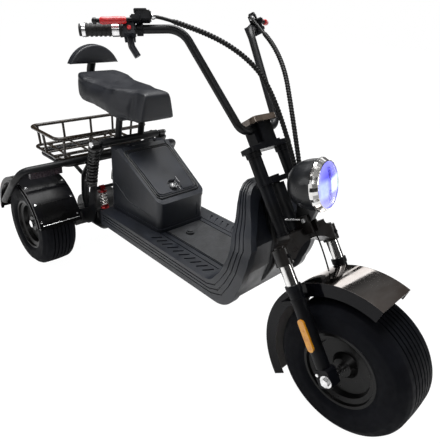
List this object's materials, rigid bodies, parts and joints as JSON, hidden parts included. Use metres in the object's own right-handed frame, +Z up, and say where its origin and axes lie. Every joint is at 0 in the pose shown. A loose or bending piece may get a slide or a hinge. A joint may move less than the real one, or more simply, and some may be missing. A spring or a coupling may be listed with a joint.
{
  "type": "electric trike scooter",
  "caption": "Low three-wheel electric scooter with a wide front wheel, raked twin-tube fork, flat foot deck, lidded battery box, saddle with backrest and a rear basket.",
  "frame": {"origin": "centre of the footprint on the ground, below the middle of the overall box", "axes": "+X to the vehicle's left, -Y to the front, +Z up"},
  "size_m": [0.894, 1.958, 1.1712],
  "materials": {
    "seat_leather": "dark grey grained leather",
    "frame_black": "gloss black painted tube",
    "basket_black": "gloss black wire with bronze sheen",
    "moulded_black": "satin moulded plastic, fine grain",
    "hose_black": "black hose in spiral wrap",
    "fork_black": "gloss black enamel",
    "strip_purple": "dark violet reflective strip",
    "deck_plate": "worn black sheet with light scratches",
    "display_glass": "reflective tinted screen",
    "motor_housing": "satin black casting",
    "bright_steel": "bright zinc plated steel",
    "amber": "amber reflector",
    "disc_steel": "ground steel disc",
    "fender_mirror": "black chrome mirror finish",
    "rim_black": "gloss black dished rim",
    "tyre": "black road tyre",
    "grip_rubber": "ribbed black rubber",
    "lamp_black": "gloss black lamp bowl",
    "lamp_glass": "clear moulded lens with blue glow",
    "chrome": "polished chrome",
    "shock_red": "red anodised caps with a bright coil",
    "crown_gloss": "dark brown-black gloss casting",
    "fender_black": "high gloss black",
    "spring_black": "black coated coil spring"
  },
  "bodies": {
    "chassis": {"main_frame": "frame_black", "deck_shell": "moulded_black", "deck_plate": "deck_plate", "battery_box": "moulded_black", "seat": "seat_leather", "seat_support": "frame_black", "backrest_pad": "seat_leather", "backrest_post": "frame_black", "rear_axle": "bright_steel", "drive_motor": "motor_housing", "rear_subframe": "frame_black", "rear_springs": "spring_black", "inner_shocks": "shock_red", "rear_bolts": "bright_steel", "rear_calipers": "motor_housing", "rear_fenders": "fender_black", "bumper_tube": "frame_black", "bumper_strips": "strip_purple", "rack": "frame_black", "basket": "basket_black"},
    "steering": {"fork_legs": "fork_black", "stanchions": "chrome", "lower_crown": "crown_gloss", "upper_tubes": "fork_black", "fork_clamps": "fork_black", "display": "display_glass", "front_axle": "bright_steel", "front_caliper": "motor_housing", "fork_reflectors": "amber", "front_fender": "fender_mirror", "fender_arms": "fork_black", "fork_bolts": "bright_steel", "handlebar": "frame_black", "grips": "grip_rubber", "switch_pods": "moulded_black", "brake_levers": "fork_black", "headlight_shell": "lamp_black", "headlight_ring": "chrome", "headlight_lens": "lamp_glass", "headlight_bracket": "lamp_black", "brake_hoses": "hose_black"},
    "front_wheel": {"front_tyre": "tyre", "front_rim": "rim_black", "front_disc": "disc_steel"},
    "rear_wheel_right": {"rear_tyre_right": "tyre", "rear_rim_right": "rim_black", "rear_disc_right": "disc_steel"},
    "rear_wheel_left": {"rear_tyre_left": "tyre", "rear_rim_left": "rim_black", "rear_disc_left": "disc_steel"},
    "box_lid": {"box_lid": "moulded_black", "lid_lock": "bright_steel"}
  },
  "joints": [
    {"name": "steering_pivot", "type": "hinge", "parent": "chassis", "child": "steering", "pos_m": [0, -0.37574, 0.68818], "axis": [0, 0.5736, 0.8192], "range_deg": [-35, 35]},
    {"name": "front_wheel_spin", "type": "hinge", "parent": "steering", "child": "front_wheel", "pos_m": [0, -0.75675, 0.2225], "axis": [1, 0, 0], "continuous": true},
    {"name": "rear_wheel_right_spin", "type": "hinge", "parent": "chassis", "child": "rear_wheel_right", "pos_m": [-0.3065, 0.74525, 0.197], "axis": [1, 0, 0], "continuous": true},
    {"name": "rear_wheel_left_spin", "type": "hinge", "parent": "chassis", "child": "rear_wheel_left", "pos_m": [0.3065, 0.74525, 0.197], "axis": [1, 0, 0], "continuous": true},
    {"name": "box_lid_hinge", "type": "hinge", "parent": "chassis", "child": "box_lid", "pos_m": [0, 0.35925, 0.632], "axis": [-1, 0, 0], "range_deg": [0, 50]}
  ]
}
